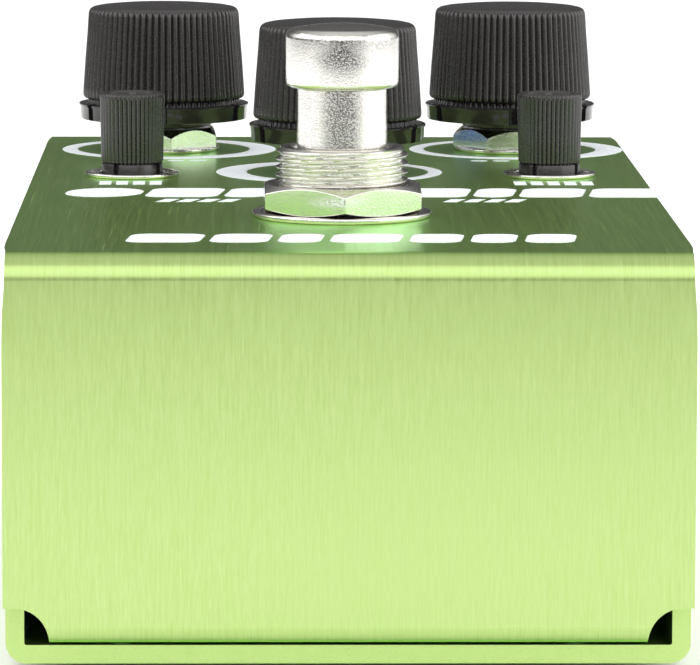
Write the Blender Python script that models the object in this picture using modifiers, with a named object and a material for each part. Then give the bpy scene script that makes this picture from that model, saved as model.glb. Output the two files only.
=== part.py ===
"""Compact guitar effects pedal: a folded sheet-metal case with a footswitch and five controls.

Units are metres. The origin is at the centre of the floor footprint, +Z is up, -Y is the end
with the footswitch (the player's end) and +X is to the player's right.
"""
import math

import bmesh
import bpy
from mathutils import Matrix, Vector

MM = 0.001

# ---------------------------------------------------------------- driving dimensions
CASE_WIDTH = 58.9 * MM
CASE_LENGTH = 111.5 * MM
CASE_HEIGHT = 35.4 * MM
SHEET = 1.6 * MM
GAP = 0.3 * MM                      # clearance between pieces that rest on each other
FOOT_HEIGHT = 1.4 * MM

TOP_BEND_RADIUS = 2.3 * MM          # outer radius of the two bends at the panel's ends
LIP_BEND_RADIUS = 1.8 * MM
LIP_LENGTH = 8.7 * MM
BASE_BEND_RADIUS = 1.8 * MM
WALL_CORNER = 1.6 * MM              # size of the square that chamfers the walls' upper corners
BASE_INSET = 0.15 * MM              # the base is this much narrower than the top on each side
BEND_STEPS = 4

RELIEF_RADIUS = 2.95 * MM           # round bend relief at each lower corner of the end flaps
RELIEF_FROM_SIDE = 0.95 * MM
RELIEF_RISE = 2.15 * MM             # height of its centre above the base's underside

BASE_BOTTOM = FOOT_HEIGHT
BASE_TOP = BASE_BOTTOM + SHEET
LIP_BOTTOM = BASE_TOP + GAP
LIP_TOP = LIP_BOTTOM + SHEET
PANEL_TOP = BASE_BOTTOM + CASE_HEIGHT
PANEL_UNDER = PANEL_TOP - SHEET
FLAP_OUTER = CASE_LENGTH / 2
FLAP_INNER = FLAP_OUTER - SHEET
WALL_OUTER = CASE_WIDTH / 2 - BASE_INSET
WALL_INNER = WALL_OUTER - SHEET

# Control layout on the panel (x, y)
SWITCH_AT = (-0.2 * MM, -24.5 * MM)
KNOBS_AT = {
    "left": (-17.3 * MM, 39.7 * MM),
    "middle": (0.0, 15.8 * MM),
    "right": (17.9 * MM, 39.7 * MM),
}
MINIS_AT = {"left": (-19.9 * MM, 12.5 * MM), "right": (20.5 * MM, 12.5 * MM)}
LED_AT = (0.3 * MM, 41.5 * MM)
LED_RADIUS = 2.5 * MM

# Footswitch
SWITCH_TRAVEL = 3.0 * MM
STEM_RADIUS = 4.1 * MM
HEAD_RADIUS = 5.1 * MM
HEAD_UNDER = PANEL_TOP + 11.65 * MM
HEAD_TOP = PANEL_TOP + 17.35 * MM
HEAD_CROWN = 0.4 * MM               # rise of the domed top above its rounded shoulder
HEAD_SHOULDER = 0.9 * MM            # radius of the shoulder
HEAD_FILLET = 0.5 * MM              # radius of the head's lower edge
COLLAR_RADIUS = 5.1 * MM            # stop collar inside the housing
COLLAR_HEIGHT = 1.8 * MM
THREAD_RADIUS = 5.95 * MM
THREAD_TOP = PANEL_TOP + 6.3 * MM
BUSHING_BORE = 4.5 * MM
SWITCH_NUT_FLATS = 14.0 * MM
SWITCH_NUT_TOP = PANEL_TOP + 3.0 * MM
SWITCH_WASHER_RADIUS = 8.1 * MM
SWITCH_FLANGE_RADIUS = 7.6 * MM
UNDER_NUT_HEIGHT = 2.0 * MM
WASHER_THICKNESS = 0.3 * MM
HOUSING_WIDTH = 17.4 * MM
HOUSING_HEIGHT = 11.3 * MM
CHAMBER_RADIUS = 5.6 * MM
CHAMBER_FLOOR = 2.2 * MM
SPRING_RADIUS = 3.2 * MM
SPRING_WIRE = 0.2 * MM
SPRING_TURNS = 3.5
TERMINAL_PITCH = (5.2 * MM, 5.0 * MM)
TERMINAL_SIZE = (2.2 * MM, 0.8 * MM, 4.4 * MM)

# Large knobs, heights above the panel
KNOB_TOP_RADIUS = 7.6 * MM
KNOB_FOOT_RADIUS = 8.25 * MM
KNOB_SKIRT_RADIUS = 8.6 * MM
KNOB_NECK_RADIUS = 7.9 * MM
KNOB_BOTTOM = 3.2 * MM
KNOB_HUB_RADIUS = 4.85 * MM         # the hub reaches below the skirt, down to the nut
KNOB_HUB_BOTTOM = 2.5 * MM
KNOB_HOLLOW_RADIUS = 6.9 * MM
KNOB_HOLLOW_TOP = 8.5 * MM
KNOB_BORE_TOP = 12.0 * MM
KNOB_SKIRT_TOP = 4.8 * MM
KNOB_GRIP_BOTTOM = 5.3 * MM
KNOB_RIM = 14.4 * MM
KNOB_TOP = 14.9 * MM
KNOB_SLOTS = 6
SLOT_WIDTH = 0.8 * MM

# Potentiometers
SHAFT_RADIUS = 2.95 * MM
POT_BORE = 3.15 * MM
POT_THREAD_RADIUS = 3.6 * MM
POT_BODY = (9.8 * MM, 11.0 * MM, 7.0 * MM)
POT_NUT_FLATS = 10.0 * MM
POT_NUT_TOP = PANEL_TOP + 2.2 * MM
POT_NUT_TURN = {"left": 8, "middle": 17, "right": -25}     # degrees, as each was tightened
POT_WASHER_RADIUS = 5.6 * MM

MINI_TOP_RADIUS = 3.13 * MM
MINI_FOOT_RADIUS = 2.98 * MM
MINI_TOP = PANEL_TOP + 8.05 * MM
MINI_COLLAR_TOP = PANEL_TOP + 1.3 * MM
MINI_BOTTOM = PANEL_UNDER + 0.2 * MM
MINI_HOLE_RADIUS = 3.5 * MM
MINI_WASHER_RADIUS = 4.5 * MM
MINI_SHANK_RADIUS = 2.0 * MM
MINI_POT_WIDTH = 9.0 * MM
MINI_POT_DROP = 0.8 * MM            # gap between the panel's underside and its body
MINI_BORE_DEPTH = 4.8 * MM

# Board and the parts below it
BOARD_SIZE = (54.0 * MM, 43.0 * MM)
BOARD_CENTRE_Y = 29.5 * MM
BOARD_THICKNESS = 1.6 * MM
BOARD_TOP = PANEL_UNDER - GAP - POT_BODY[2] - GAP
BOARD_BOTTOM = BOARD_TOP - BOARD_THICKNESS

# Jacks: (side, y)
JACKS = {"output": (-1, 14.0 * MM), "input": (1, 31.5 * MM)}
JACK_HEIGHT = 13.6 * MM
JACK_BODY = (26.0 * MM, 15.0 * MM, 15.0 * MM)
JACK_THREAD_RADIUS = 4.75 * MM
JACK_BORE_RADIUS = 3.3 * MM
JACK_REACH = 3.5 * MM               # how far the bushing stands out of the wall
JACK_NUT_FLATS = 12.7 * MM
JACK_WASHER_RADIUS = 7.4 * MM
JACK_NUT = (1.0 * MM, 3.2 * MM)     # from and to, out of the wall
JACK_BORE_DEPTH = 24.0 * MM

DC_BODY = (9.2 * MM, 14.0 * MM, 11.0 * MM)
DC_HEIGHT = BOARD_BOTTOM - GAP - DC_BODY[2] / 2
DC_BORE_RADIUS = 3.1 * MM
DC_PIN_RADIUS = 1.05 * MM
DC_BORE_DEPTH = 11.0 * MM

BATTERY = (46.4 * MM, 17.5 * MM, 26.4 * MM)
BATTERY_CENTRE = (-4.1 * MM, -44.7 * MM, 20.8 * MM)
STUD_OFFSET = 6.35 * MM             # each snap stud from the battery's middle
STUD_RADIUS = 2.8 * MM
STUD_HEIGHT = 2.2 * MM
SNAP = (3.6 * MM, 12.6 * MM, 25.0 * MM)
FOAM = (36.0 * MM, 9.5 * MM)
FOAM_Y = -41.2 * MM
LEAD_RADIUS = 0.9 * MM
BATTERY_LEAD_RADIUS = 1.1 * MM
RIBBON_WIDTH = 9.0 * MM
RIBBON_THICKNESS = 0.9 * MM

SCREWS_AT = [(sx * 19.5 * MM, sy * 50.9 * MM) for sy in (-1, 1) for sx in (-1, 1)]
FEET_AT = [(sx * 21.0 * MM, sy * 40.0 * MM) for sy in (-1, 1) for sx in (-1, 1)]
SCREW_RADIUS = 1.45 * MM
SCREW_HOLE = 1.8 * MM
SCREW_HEAD_RADIUS = 2.5 * MM
SCREW_HEAD_DEPTH = 1.05 * MM
SCREW_TOP = 6.5 * MM
CLINCH_RADIUS = 3.2 * MM
CLINCH_SHANK_RADIUS = 2.2 * MM
CLINCH_BORE = 1.75 * MM
CLINCH_HEIGHT = 1.9 * MM
FOOT_RADIUS = 5.5 * MM
FOOT_EDGE = 0.4 * MM


# ---------------------------------------------------------------- scene and materials
for old in list(bpy.data.objects):
    bpy.data.objects.remove(old, do_unlink=True)

parts = bpy.data.collections.new("effects_pedal")
cutters = bpy.data.collections.new("cutters")
bpy.context.scene.collection.children.link(parts)
bpy.context.scene.collection.children.link(cutters)


def material(name, colour, roughness, metallic=0.0):
    made = bpy.data.materials.new(name)
    made.use_nodes = True
    shader = made.node_tree.nodes["Principled BSDF"]
    shader.inputs["Base Color"].default_value = (*colour, 1.0)
    shader.inputs["Roughness"].default_value = roughness
    shader.inputs["Metallic"].default_value = metallic
    return made


GREEN = material("green_anodised", (0.42, 0.66, 0.17), 0.35, 1.0)
NICKEL = material("bright_nickel", (0.80, 0.79, 0.76), 0.15, 1.0)
STEEL = material("zinc_steel", (0.62, 0.63, 0.64), 0.35, 1.0)
BLACK = material("black_plastic", (0.03, 0.03, 0.032), 0.45)
DARK = material("dark_phenolic", (0.10, 0.05, 0.03), 0.6)
RUBBER = material("black_rubber", (0.02, 0.02, 0.02), 0.9)
BOARD = material("green_board", (0.02, 0.20, 0.09), 0.5)
LENS = material("blue_lens", (0.10, 0.25, 0.85), 0.1)
SPONGE = material("grey_foam", (0.18, 0.18, 0.19), 0.95)
GREY = material("grey_ribbon", (0.45, 0.45, 0.46), 0.6)


# ---------------------------------------------------------------- shape helpers
def add_part(name, mesh, look, at=(0, 0, 0), turn=None, bodies=None):
    """Link a mesh as a named object; cutters go in their own hidden collection."""
    obj = bpy.data.objects.new(name, mesh)
    obj.location = at
    if turn is not None:
        obj.rotation_euler = turn
    if look is not None:
        mesh.materials.append(look)
    (bodies or parts).objects.link(obj)
    return obj


def from_bmesh(name, shape):
    bmesh.ops.recalc_face_normals(shape, faces=shape.faces)
    mesh = bpy.data.meshes.new(name)
    shape.to_mesh(mesh)
    shape.free()
    return mesh


def block(name, size, look, at, bevel=0.0):
    shape = bmesh.new()
    bmesh.ops.create_cube(shape, size=1.0, matrix=Matrix.Diagonal((*size, 1.0)))
    obj = add_part(name, from_bmesh(name, shape), look, at)
    if bevel:
        edge = obj.modifiers.new("edges", "BEVEL")
        edge.width = bevel
        edge.segments = 1
    return obj


def rod_mesh(name, radius, low, high, segments=24, top_radius=None):
    """A cylinder or cone along Z from low to high."""
    shape = bmesh.new()
    bmesh.ops.create_cone(
        shape, cap_ends=True, segments=segments, radius1=radius,
        radius2=radius if top_radius is None else top_radius, depth=high - low,
        matrix=Matrix.Translation((0, 0, (low + high) / 2)),
    )
    return from_bmesh(name, shape)


def turned(name, profile, look, at=(0, 0, 0), turn=None, segments=24, closed=False):
    """Turn a profile of (radius, z) points about Z; it runs down its outer side."""
    mesh = bpy.data.meshes.new(name)
    edges = [(i, i + 1) for i in range(len(profile) - 1)]
    if closed:
        edges.append((len(profile) - 1, 0))
    mesh.from_pydata([(r, 0, z) for r, z in profile], edges, [])
    obj = add_part(name, mesh, look, at, turn)
    screw = obj.modifiers.new("turn", "SCREW")
    screw.steps = segments
    screw.render_steps = segments
    screw.use_merge_vertices = True
    screw.merge_threshold = 0.00001
    screw.use_smooth_shade = True
    return obj


def ring(name, outer, inner, low, high, look, at=(0, 0, 0), turn=None, segments=24):
    profile = [(outer, high), (outer, low), (inner, low), (inner, high)]
    return turned(name, profile, look, at, turn, segments, closed=True)


def boolean(obj, other, operation="DIFFERENCE"):
    step = obj.modifiers.new(operation.lower(), "BOOLEAN")
    step.operation = operation
    step.object = other


def cutter(name, mesh, at=(0, 0, 0), turn=None):
    tool = add_part(name, mesh, None, at, turn, cutters)
    tool.hide_render = True
    tool.display_type = "WIRE"
    return tool


def drill(obj, radius, low, high, at=(0, 0, 0), turn=None, segments=24, top_radius=None):
    tag = f"cut_{obj.name}_{len(obj.modifiers)}"
    boolean(obj, cutter(tag, rod_mesh(tag, radius, low, high, segments, top_radius), at, turn))


def mill(obj, size, at, turn=None):
    """Cut a rectangular block away."""
    tag = f"cut_{obj.name}_{len(obj.modifiers)}"
    shape = bmesh.new()
    bmesh.ops.create_cube(shape, size=1.0, matrix=Matrix.Diagonal((*size, 1.0)))
    boolean(obj, cutter(tag, from_bmesh(tag, shape), at, turn))


def weld_on(obj, mesh, at=(0, 0, 0), turn=None):
    """Join another solid to a part with a Boolean union."""
    boolean(obj, cutter(f"add_{obj.name}_{len(obj.modifiers)}", mesh, at, turn), "UNION")


def arc(centre, radius, start, end, steps):
    """Points on an arc, angles in degrees."""
    return [
        (centre[0] + radius * math.cos(math.radians(start + (end - start) * i / steps)),
         centre[1] + radius * math.sin(math.radians(start + (end - start) * i / steps)))
        for i in range(steps + 1)
    ]


def filleted(corners, radii, steps=BEND_STEPS):
    """A path through the corners, with each inner corner rounded to its radius."""
    path = [Vector(corners[0])]
    for i, radius in enumerate(radii, start=1):
        corner = Vector(corners[i])
        back = (Vector(corners[i - 1]) - corner).normalized()
        ahead = (Vector(corners[i + 1]) - corner).normalized()
        half = back.angle(ahead) / 2
        centre = corner + (back + ahead).normalized() * (radius / math.sin(half))
        start = corner + back * (radius / math.tan(half)) - centre
        sweep = start.angle_signed(corner + ahead * (radius / math.tan(half)) - centre)
        for k in range(steps + 1):
            path.append(centre + Matrix.Rotation(-sweep * k / steps, 2) @ start)
    path.append(Vector(corners[-1]))
    return path


def folded_sheet(name, path, to_3d, run, look):
    """Sweep a 2D path along one axis and thicken it to the sheet's gauge."""
    shape = bmesh.new()
    line = [shape.verts.new(to_3d(point)) for point in path]
    edges = [shape.edges.new(pair) for pair in zip(line, line[1:])]
    swept = bmesh.ops.extrude_edge_only(shape, edges=edges)
    moved = [item for item in swept["geom"] if isinstance(item, bmesh.types.BMVert)]
    bmesh.ops.translate(shape, verts=moved, vec=run)
    mesh = bpy.data.meshes.new(name)
    shape.to_mesh(mesh)
    shape.free()
    obj = add_part(name, mesh, look)
    wall = obj.modifiers.new("gauge", "SOLIDIFY")
    wall.thickness = SHEET
    wall.use_even_offset = True
    return obj, wall


def prism(name, outline, depth):
    """Extrude a closed outline of (x, z) points by depth along Y, centred."""
    shape = bmesh.new()
    face = shape.faces.new([shape.verts.new((x, -depth / 2, z)) for x, z in outline])
    swept = bmesh.ops.extrude_face_region(shape, geom=[face])
    moved = [item for item in swept["geom"] if isinstance(item, bmesh.types.BMVert)]
    bmesh.ops.translate(shape, verts=moved, vec=(0, depth, 0))
    return from_bmesh(name, shape)


def hexagon(name, flats, low, high, bore, look, at, turn=None):
    """A hexagon nut with a plain bore."""
    nut = add_part(name, rod_mesh(name, flats / math.sqrt(3), low, high, 6), look, at, turn)
    drill(nut, bore, low - MM, high + MM, at, turn)
    return nut


def smooth_route(points, steps):
    """Catmull-Rom points through a hand-placed route."""
    ends = [2 * points[0] - points[1], *points, 2 * points[-1] - points[-2]]
    route = []
    for p0, p1, p2, p3 in zip(ends, ends[1:], ends[2:], ends[3:]):
        for k in range(steps):
            t = k / steps
            route.append(0.5 * (2 * p1 + (p2 - p0) * t
                                + (2 * p0 - 5 * p1 + 4 * p2 - p3) * t * t
                                + (3 * p1 - p0 - 3 * p2 + p3) * t ** 3))
    route.append(points[-1])
    return route


def wire(name, points, radius, look):
    """A round wire along the given points."""
    curve = bpy.data.curves.new(name, "CURVE")
    curve.dimensions = "3D"
    curve.bevel_depth = radius
    curve.bevel_resolution = 2
    curve.use_fill_caps = True
    line = curve.splines.new("POLY")
    line.points.add(len(points) - 1)
    for spot, point in zip(line.points, points):
        spot.co = (*point, 1.0)
    obj = bpy.data.objects.new(name, curve)
    curve.materials.append(look)
    parts.objects.link(obj)
    return obj


# ---------------------------------------------------------------- case
def make_top_shell():
    """Panel, two end flaps and their turned-in lips, folded from one sheet."""
    lip_end = FLAP_OUTER - LIP_LENGTH
    corners = [
        (-lip_end, LIP_BOTTOM), (-FLAP_OUTER, LIP_BOTTOM), (-FLAP_OUTER, PANEL_TOP),
        (FLAP_OUTER, PANEL_TOP), (FLAP_OUTER, LIP_BOTTOM), (lip_end, LIP_BOTTOM),
    ]
    radii = [LIP_BEND_RADIUS, TOP_BEND_RADIUS, TOP_BEND_RADIUS, LIP_BEND_RADIUS]
    half = CASE_WIDTH / 2
    shell, wall = folded_sheet(
        "top_shell", filleted(corners, radii), lambda p: (-half, p[0], p[1]),
        (CASE_WIDTH, 0, 0), GREEN)
    wall.offset = -1

    centre_x = half - RELIEF_FROM_SIDE
    inner_x = centre_x - RELIEF_RADIUS
    relief_z = BASE_BOTTOM + RELIEF_RISE
    outline = arc((centre_x, relief_z), RELIEF_RADIUS, 90, 180, 8)
    outline += [(inner_x, 0), (half + MM, 0), (half + MM, relief_z + RELIEF_RADIUS)]
    for side in (1, -1):
        points = [(side * x, z) for x, z in outline]
        tag = "cut_relief_right" if side > 0 else "cut_relief_left"
        boolean(shell, cutter(tag, prism(tag, points, CASE_LENGTH + 10 * MM)))

    low, high = PANEL_UNDER - MM, PANEL_TOP + MM
    drill(shell, THREAD_RADIUS + GAP, low, high, (*SWITCH_AT, 0))
    for x, y in KNOBS_AT.values():
        drill(shell, POT_THREAD_RADIUS + GAP, low, high, (x, y, 0))
    for x, y in MINIS_AT.values():
        drill(shell, MINI_HOLE_RADIUS, low, high, (x, y, 0))
    drill(shell, LED_RADIUS + 0.4 * MM, low, high, (*LED_AT, 0))
    for x, y in SCREWS_AT:
        drill(shell, CLINCH_SHANK_RADIUS + GAP, LIP_BOTTOM - MM, LIP_TOP + MM, (x, y, 0),
              segments=20)
    mill(shell, (DC_BODY[0] + 2 * GAP, 3 * SHEET, DC_BODY[2] + 2 * GAP),
         (0, FLAP_OUTER - SHEET / 2, DC_HEIGHT))
    return shell


def make_base_chassis():
    """Bottom plate and the two side walls, folded from one sheet."""
    wall_top = PANEL_UNDER - GAP
    run = FLAP_INNER - GAP
    corners = [(-WALL_OUTER, wall_top), (-WALL_OUTER, BASE_BOTTOM),
               (WALL_OUTER, BASE_BOTTOM), (WALL_OUTER, wall_top)]
    base, wall = folded_sheet(
        "base_chassis", filleted(corners, [BASE_BEND_RADIUS] * 2),
        lambda p: (p[0], -run, p[1]), (0, 2 * run, 0), GREEN)
    wall.offset = -1
    for end in (-1, 1):
        mill(base, (CASE_WIDTH + 4 * MM, WALL_CORNER, WALL_CORNER), (0, end * run, wall_top),
             (math.radians(45), 0, 0))
    for x, y in SCREWS_AT:
        drill(base, SCREW_HOLE, BASE_BOTTOM - MM, BASE_TOP + MM, (x, y, 0), segments=20)
        sink = SCREW_HOLE + SCREW_HEAD_DEPTH
        drill(base, sink + MM, BASE_BOTTOM - MM, BASE_BOTTOM + SCREW_HEAD_DEPTH, (x, y, 0),
              segments=20, top_radius=SCREW_HOLE)
    for side, y in JACKS.values():
        drill(base, JACK_THREAD_RADIUS + GAP, -4 * MM, 4 * MM,
              (side * WALL_OUTER, y, JACK_HEIGHT), (0, math.radians(90), 0), 28)
    return base


def make_fasteners():
    for number, (x, y) in enumerate(SCREWS_AT, start=1):
        head = BASE_BOTTOM + 0.05 * MM
        screw = turned(f"base_screw_{number}", [
            (0, SCREW_TOP), (SCREW_RADIUS, SCREW_TOP), (SCREW_RADIUS, head + SCREW_HEAD_DEPTH),
            (SCREW_HEAD_RADIUS, head), (0, head)], STEEL, (x, y, 0), segments=16)
        for turn in (0, 90):
            mill(screw, (2 * SCREW_RADIUS, 0.6 * MM, 1.6 * MM), (x, y, head),
                 (0, 0, math.radians(turn)))
        shank = LIP_BOTTOM + 0.1 * MM
        shoulder = LIP_TOP + GAP
        nut_top = shoulder + CLINCH_HEIGHT
        turned(f"clinch_nut_{number}", [
            (CLINCH_RADIUS, nut_top), (CLINCH_RADIUS, shoulder), (CLINCH_SHANK_RADIUS, shoulder),
            (CLINCH_SHANK_RADIUS, shank), (CLINCH_BORE, shank), (CLINCH_BORE, nut_top)],
            STEEL, (x, y, 0), segments=12, closed=True)
    top = BASE_BOTTOM - GAP
    for number, (x, y) in enumerate(FEET_AT, start=1):
        turned(f"rubber_foot_{number}", [
            (0, top), (FOOT_RADIUS, top), (FOOT_RADIUS, FOOT_EDGE),
            (FOOT_RADIUS - FOOT_EDGE, 0), (0, 0)], RUBBER, (x, y, 0), segments=20)


# ---------------------------------------------------------------- footswitch
def make_footswitch():
    x, y = SWITCH_AT
    at = (x, y, 0)
    nut_low = PANEL_UNDER - GAP - UNDER_NUT_HEIGHT
    flange_top = nut_low - GAP
    flange_low = flange_top - 1.0 * MM
    housing_top = flange_low - GAP
    housing_low = housing_top - HOUSING_HEIGHT

    turned("switch_bushing", [
        (THREAD_RADIUS - 0.3 * MM, THREAD_TOP), (THREAD_RADIUS, THREAD_TOP - 0.3 * MM),
        (THREAD_RADIUS, flange_top), (SWITCH_FLANGE_RADIUS, flange_top),
        (SWITCH_FLANGE_RADIUS, flange_low), (BUSHING_BORE, flange_low),
        (BUSHING_BORE, THREAD_TOP)], NICKEL, at, closed=True)
    hexagon("switch_under_nut", SWITCH_NUT_FLATS, nut_low, nut_low + UNDER_NUT_HEIGHT,
            THREAD_RADIUS + GAP, STEEL, at, (0, 0, math.radians(30)))
    washer_low = PANEL_TOP + GAP
    washer_top = washer_low + WASHER_THICKNESS
    ring("switch_washer", SWITCH_WASHER_RADIUS, THREAD_RADIUS + GAP, washer_low, washer_top,
         NICKEL, at)
    hexagon("switch_top_nut", SWITCH_NUT_FLATS, washer_top + GAP, SWITCH_NUT_TOP,
            THREAD_RADIUS + GAP, NICKEL, at, (0, 0, math.radians(30)))

    collar_top = flange_low - GAP
    collar_low = collar_top - COLLAR_HEIGHT
    flat = HEAD_RADIUS - HEAD_SHOULDER
    profile = [(0, HEAD_TOP), (flat / 2, HEAD_TOP - HEAD_CROWN / 4)]
    profile += arc((flat, HEAD_TOP - HEAD_CROWN - HEAD_SHOULDER), HEAD_SHOULDER, 90, 0, 3)
    profile += arc((HEAD_RADIUS - HEAD_FILLET, HEAD_UNDER + HEAD_FILLET), HEAD_FILLET,
                   0, -90, 2)
    profile += [(STEM_RADIUS, HEAD_UNDER), (STEM_RADIUS, collar_top),
                (COLLAR_RADIUS, collar_top), (COLLAR_RADIUS, collar_low), (0, collar_low)]
    turned("switch_plunger", profile, NICKEL, at)

    housing = block("switch_housing", (HOUSING_WIDTH, HOUSING_WIDTH, HOUSING_HEIGHT), DARK,
                    (x, y, (housing_top + housing_low) / 2))
    floor = housing_low + CHAMBER_FLOOR
    drill(housing, CHAMBER_RADIUS, floor, housing_top + MM, at)

    low = floor + GAP + SPRING_WIRE
    high = collar_low - GAP - SPRING_WIRE
    steps = 30
    coil = [(x + SPRING_RADIUS * math.cos(2 * math.pi * SPRING_TURNS * i / steps),
             y + SPRING_RADIUS * math.sin(2 * math.pi * SPRING_TURNS * i / steps),
             low + (high - low) * i / steps) for i in range(steps + 1)]
    wire("switch_spring", coil, SPRING_WIRE, STEEL)

    board_top = housing_low - GAP
    board = block("switch_terminal_board", (HOUSING_WIDTH, HOUSING_WIDTH, BOARD_THICKNESS),
                  BOARD, (x, y, board_top - BOARD_THICKNESS / 2))
    lug = bmesh.new()
    sunk = MM - BOARD_THICKNESS - TERMINAL_SIZE[2] / 2
    for row in (-1, 0, 1):
        for column in (-1, 0, 1):
            spot = Vector((column * TERMINAL_PITCH[0], row * TERMINAL_PITCH[1], sunk))
            bmesh.ops.create_cube(lug, size=1.0, matrix=Matrix.Translation(spot)
                                  @ Matrix.Diagonal((*TERMINAL_SIZE, 1.0)))
    weld_on(board, from_bmesh("switch_lugs", lug), (x, y, board_top))


# ---------------------------------------------------------------- controls
def make_large_control(side):
    x, y = KNOBS_AT[side]
    at = (x, y, 0)
    body_top = PANEL_UNDER - GAP
    body = block(f"pot_body_{side}", POT_BODY, STEEL, (x, y, body_top - POT_BODY[2] / 2))
    weld_on(body, rod_mesh(f"thread_{side}", POT_THREAD_RADIUS, body_top - MM,
                           POT_NUT_TOP), at)
    drill(body, POT_BORE, body_top - 5.5 * MM, PANEL_TOP + 4 * MM, at)

    washer_low = PANEL_TOP + GAP
    washer_top = washer_low + WASHER_THICKNESS
    ring(f"pot_washer_{side}", POT_WASHER_RADIUS, POT_THREAD_RADIUS + GAP, washer_low,
         washer_top, NICKEL, at)
    hexagon(f"pot_nut_{side}", POT_NUT_FLATS, washer_top + GAP, POT_NUT_TOP,
            POT_THREAD_RADIUS + GAP, NICKEL, at, (0, 0, math.radians(30 + POT_NUT_TURN[side])))

    bore_top = PANEL_TOP + KNOB_BORE_TOP
    turned(f"pot_shaft_{side}", [
        (0, bore_top - GAP), (SHAFT_RADIUS, bore_top - GAP),
        (SHAFT_RADIUS, body_top - 5.2 * MM), (0, body_top - 5.2 * MM)], STEEL, at)

    heights = [
        (0, KNOB_TOP), (KNOB_TOP_RADIUS * 0.6, KNOB_TOP - 0.1 * MM),
        (KNOB_TOP_RADIUS - 0.6 * MM, KNOB_RIM + 0.2 * MM), (KNOB_TOP_RADIUS, KNOB_RIM - 0.3 * MM),
        (KNOB_FOOT_RADIUS, KNOB_GRIP_BOTTOM), (KNOB_NECK_RADIUS, KNOB_GRIP_BOTTOM),
        (KNOB_NECK_RADIUS, KNOB_SKIRT_TOP), (KNOB_SKIRT_RADIUS, KNOB_SKIRT_TOP),
        (KNOB_SKIRT_RADIUS, KNOB_BOTTOM), (KNOB_HOLLOW_RADIUS, KNOB_BOTTOM),
        (KNOB_HOLLOW_RADIUS - 0.2 * MM, KNOB_HOLLOW_TOP), (KNOB_HUB_RADIUS, KNOB_HOLLOW_TOP),
        (KNOB_HUB_RADIUS, KNOB_HUB_BOTTOM), (SHAFT_RADIUS + GAP, KNOB_HUB_BOTTOM),
        (SHAFT_RADIUS + GAP, KNOB_BORE_TOP), (0, KNOB_BORE_TOP),
    ]
    knob = turned(f"knob_{side}", [(r, z + PANEL_TOP) for r, z in heights], BLACK, at,
                  segments=32)
    middle = PANEL_TOP + (KNOB_BOTTOM + KNOB_SKIRT_TOP) / 2
    shape = bmesh.new()
    for index in range(KNOB_SLOTS):
        spin = Matrix.Rotation(math.radians(30 + 360 * index / KNOB_SLOTS), 4, "Z")
        bmesh.ops.create_cube(shape, size=1.0, matrix=spin
                              @ Matrix.Translation((KNOB_SKIRT_RADIUS, 0, middle))
                              @ Matrix.Diagonal((1.2 * MM, SLOT_WIDTH, 2 * MM, 1.0)))
    boolean(knob, cutter(f"cut_slots_{side}", from_bmesh(f"slots_{side}", shape), at))


def make_mini_control(side):
    x, y = MINIS_AT[side]
    at = (x, y, 0)
    body_top = PANEL_UNDER - MINI_POT_DROP
    height = body_top - GAP - BOARD_TOP
    body = block(f"mini_pot_{side}", (MINI_POT_WIDTH, MINI_POT_WIDTH, height), BLACK,
                 (x, y, body_top - height / 2))
    bore_floor = body_top - MINI_BORE_DEPTH
    drill(body, MINI_SHANK_RADIUS + GAP, bore_floor, body_top + MM, at, segments=16)
    turned(f"mini_knob_{side}", [
        (0, MINI_TOP), (MINI_TOP_RADIUS - 0.4 * MM, MINI_TOP),
        (MINI_TOP_RADIUS, MINI_TOP - 0.3 * MM), (MINI_FOOT_RADIUS, MINI_COLLAR_TOP),
        (MINI_FOOT_RADIUS, MINI_BOTTOM), (MINI_SHANK_RADIUS, MINI_BOTTOM),
        (MINI_SHANK_RADIUS, bore_floor + GAP), (0, bore_floor + GAP)], BLACK, at, segments=20)
    washer_low = PANEL_TOP + GAP
    ring(f"mini_washer_{side}", MINI_WASHER_RADIUS, MINI_FOOT_RADIUS + GAP, washer_low,
         washer_low + WASHER_THICKNESS, NICKEL, at)


def make_led():
    """A domed lamp pushed up through the panel, with its flange against the underside."""
    flange_top = PANEL_UNDER - GAP
    low = flange_top - 3.0 * MM
    dome = arc((0, PANEL_TOP + 0.4 * MM), LED_RADIUS, 90, 0, 5)
    turned("led_lens", dome + [
        (LED_RADIUS, flange_top), (LED_RADIUS + 0.5 * MM, flange_top),
        (LED_RADIUS + 0.5 * MM, low), (0, low)], LENS, (*LED_AT, 0))


# ---------------------------------------------------------------- inside the case
def make_board():
    board = block("main_board", (*BOARD_SIZE, BOARD_THICKNESS), BOARD,
                  (0, BOARD_CENTRE_Y, BOARD_TOP - BOARD_THICKNESS / 2))
    mill(board, (RIBBON_WIDTH + MM, 3 * MM, 3 * BOARD_THICKNESS),
         (0, BOARD_CENTRE_Y - BOARD_SIZE[1] / 2, BOARD_TOP))


def make_jack(role):
    side, y = JACKS[role]
    turn = (0, math.radians(90 * side), 0)
    wall = (side * WALL_OUTER, y, JACK_HEIGHT)
    shoulder = SHEET + GAP
    body = block(f"{role}_jack_body", JACK_BODY, BLACK,
                 (side * (WALL_OUTER - shoulder - JACK_BODY[0] / 2), y, JACK_HEIGHT))
    weld_on(body, rod_mesh(f"{role}_thread", JACK_THREAD_RADIUS, -shoulder - MM, JACK_REACH, 28),
            wall, turn)
    drill(body, JACK_BORE_RADIUS, -JACK_BORE_DEPTH, JACK_REACH + MM, wall, turn)
    ring(f"{role}_jack_washer", JACK_WASHER_RADIUS, JACK_THREAD_RADIUS + GAP, GAP,
         JACK_NUT[0] - GAP, NICKEL, wall, turn)
    hexagon(f"{role}_jack_nut", JACK_NUT_FLATS, *JACK_NUT, JACK_THREAD_RADIUS + GAP,
            NICKEL, wall, turn)


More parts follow.
